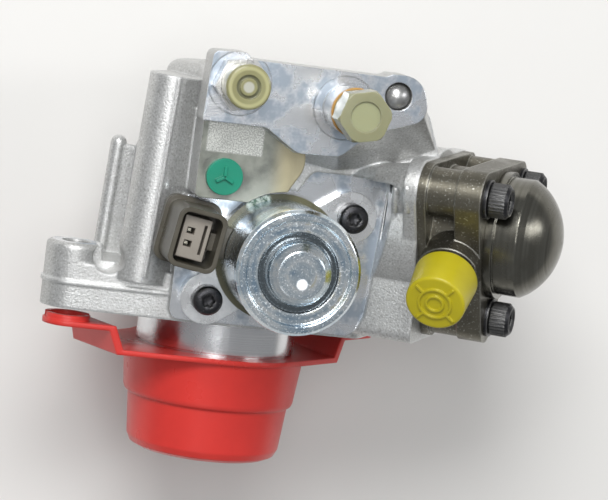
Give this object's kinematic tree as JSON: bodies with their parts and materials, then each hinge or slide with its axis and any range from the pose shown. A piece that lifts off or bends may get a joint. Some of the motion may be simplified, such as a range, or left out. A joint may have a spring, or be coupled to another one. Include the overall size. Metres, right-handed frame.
{
  "type": "high pressure fuel pump",
  "caption": "Cam-driven diesel fuel pump: cast housing with flange, inclined steel pumping head, metering valve with socket, ports under transport caps.",
  "frame": {"origin": "on the drive shaft's axis, in the plane of the mounting flange's face", "axes": "-Y out of the pilot spigot and drive end, +Z along the metering valve, +X towards the pumping head"},
  "size_m": [0.1478, 0.1222, 0.1328],
  "materials": {
    "cast_aluminium": "die cast, machined pads",
    "machined_aluminium": "turned and milled",
    "rubber_seal": "matt",
    "bronze": "sintered bronze",
    "hardened_steel": "ground",
    "spring_steel": "drawn wire",
    "forged_head_steel": "forged, phosphated dark brown",
    "turned_head_steel": "turned, dark",
    "black_screw_steel": "black oxide",
    "zinc_can_steel": "zinc plated, blue passivated",
    "valve_steel": "ground",
    "copper_winding": "enamelled copper wire",
    "brown_connector_plastic": "glass-filled, moulded",
    "tinned_terminal": "tinned",
    "plated_fitting_steel": "zinc plated",
    "olive_cap_plastic": "translucent, moulded",
    "amber_seal": "smooth",
    "yellow_cap_plastic": "moulded",
    "green_plug_plastic": "moulded",
    "red_cap_plastic": "moulded"
  },
  "bodies": {
    "housing": {"pump_housing": "cast_aluminium", "front_bearing_carrier": "machined_aluminium", "carrier_o_ring": "rubber_seal", "shaft_seal": "rubber_seal", "front_bush": "bronze", "rear_bush": "bronze", "thrust_washer": "bronze", "tappet_body": "hardened_steel", "roller_pin": "hardened_steel", "spring_seat": "hardened_steel", "plunger_spring": "spring_steel", "plunger": "hardened_steel", "plunger_seal": "rubber_seal", "head_body": "forged_head_steel", "head_o_ring": "rubber_seal", "head_dome": "turned_head_steel", "head_bolts": "black_screw_steel", "head_washers": "black_screw_steel", "inlet_valve_seat": "hardened_steel", "inlet_valve_spring": "spring_steel", "outlet_fitting": "turned_head_steel", "outlet_spring": "spring_steel", "valve_flange": "machined_aluminium", "valve_body": "valve_steel", "valve_o_rings": "rubber_seal", "valve_spring": "spring_steel", "valve_can": "zinc_can_steel", "valve_coil": "copper_winding", "valve_core": "valve_steel", "valve_connector": "brown_connector_plastic", "valve_terminals": "tinned_terminal", "valve_screws": "black_screw_steel", "return_fitting": "plated_fitting_steel", "inlet_fitting": "plated_fitting_steel", "inlet_seal": "amber_seal", "gallery_ball_plug": "hardened_steel"},
    "shaft": {"drive_shaft": "hardened_steel", "shaft_key": "hardened_steel"},
    "roller": {"tappet_roller": "hardened_steel"},
    "spool": {"valve_spool": "valve_steel"},
    "inlet_poppet": {"inlet_valve": "hardened_steel", "inlet_valve_retainer": "hardened_steel"},
    "delivery_ball": {"outlet_ball": "hardened_steel"},
    "drive_cap": {"transport_cap": "red_cap_plastic"},
    "outlet_port_cap": {"outlet_cap": "yellow_cap_plastic"},
    "inlet_port_cap": {"inlet_cap": "olive_cap_plastic"},
    "return_port_cap": {"return_cap": "olive_cap_plastic"},
    "gauge_plug": {"gauge_port_plug": "green_plug_plastic"}
  },
  "joints": [
    {"name": "drive_shaft_spin", "type": "hinge", "parent": "housing", "child": "shaft", "pos_m": [0, 0, 0], "axis": [0, 1, 0], "continuous": true},
    {"name": "roller_spin", "type": "hinge", "parent": "housing", "child": "roller", "pos_m": [0.0219, 0.0356, 0.01164], "axis": [0, 1, 0], "continuous": true},
    {"name": "spool_slide", "type": "slide", "parent": "housing", "child": "spool", "axis": [0, 0, -1], "range_m": [0, 0.0015], "stiffness_N_per_m": 800, "springref_m": -0.0005, "deforming": ["valve_spring"]},
    {"name": "inlet_valve_slide", "type": "slide", "parent": "housing", "child": "inlet_poppet", "axis": [-0.8829, 0, -0.4695], "range_m": [0, 0.0008], "stiffness_N_per_m": 500, "springref_m": -0.0005, "deforming": ["inlet_valve_spring"]},
    {"name": "delivery_ball_slide", "type": "slide", "parent": "housing", "child": "delivery_ball", "axis": [-0.3775, -0.4613, 0.8029], "range_m": [0, 0.0006], "stiffness_N_per_m": 300, "springref_m": -0.0005, "deforming": ["outlet_spring"]},
    {"name": "drive_cap_pull", "type": "slide", "parent": "housing", "child": "drive_cap", "axis": [0, -1, 0], "range_m": [0, 0.06]},
    {"name": "outlet_cap_pull", "type": "slide", "parent": "housing", "child": "outlet_port_cap", "axis": [-0.3775, -0.4613, 0.8029], "range_m": [0, 0.02]},
    {"name": "inlet_cap_pull", "type": "slide", "parent": "housing", "child": "inlet_port_cap", "axis": [0, 0, 1], "range_m": [0, 0.016]},
    {"name": "return_cap_pull", "type": "slide", "parent": "housing", "child": "return_port_cap", "axis": [0, 0, 1], "range_m": [0, 0.012]},
    {"name": "gauge_plug_pull", "type": "slide", "parent": "housing", "child": "gauge_plug", "axis": [0, 0, 1], "range_m": [0, 0.012]}
  ]
}
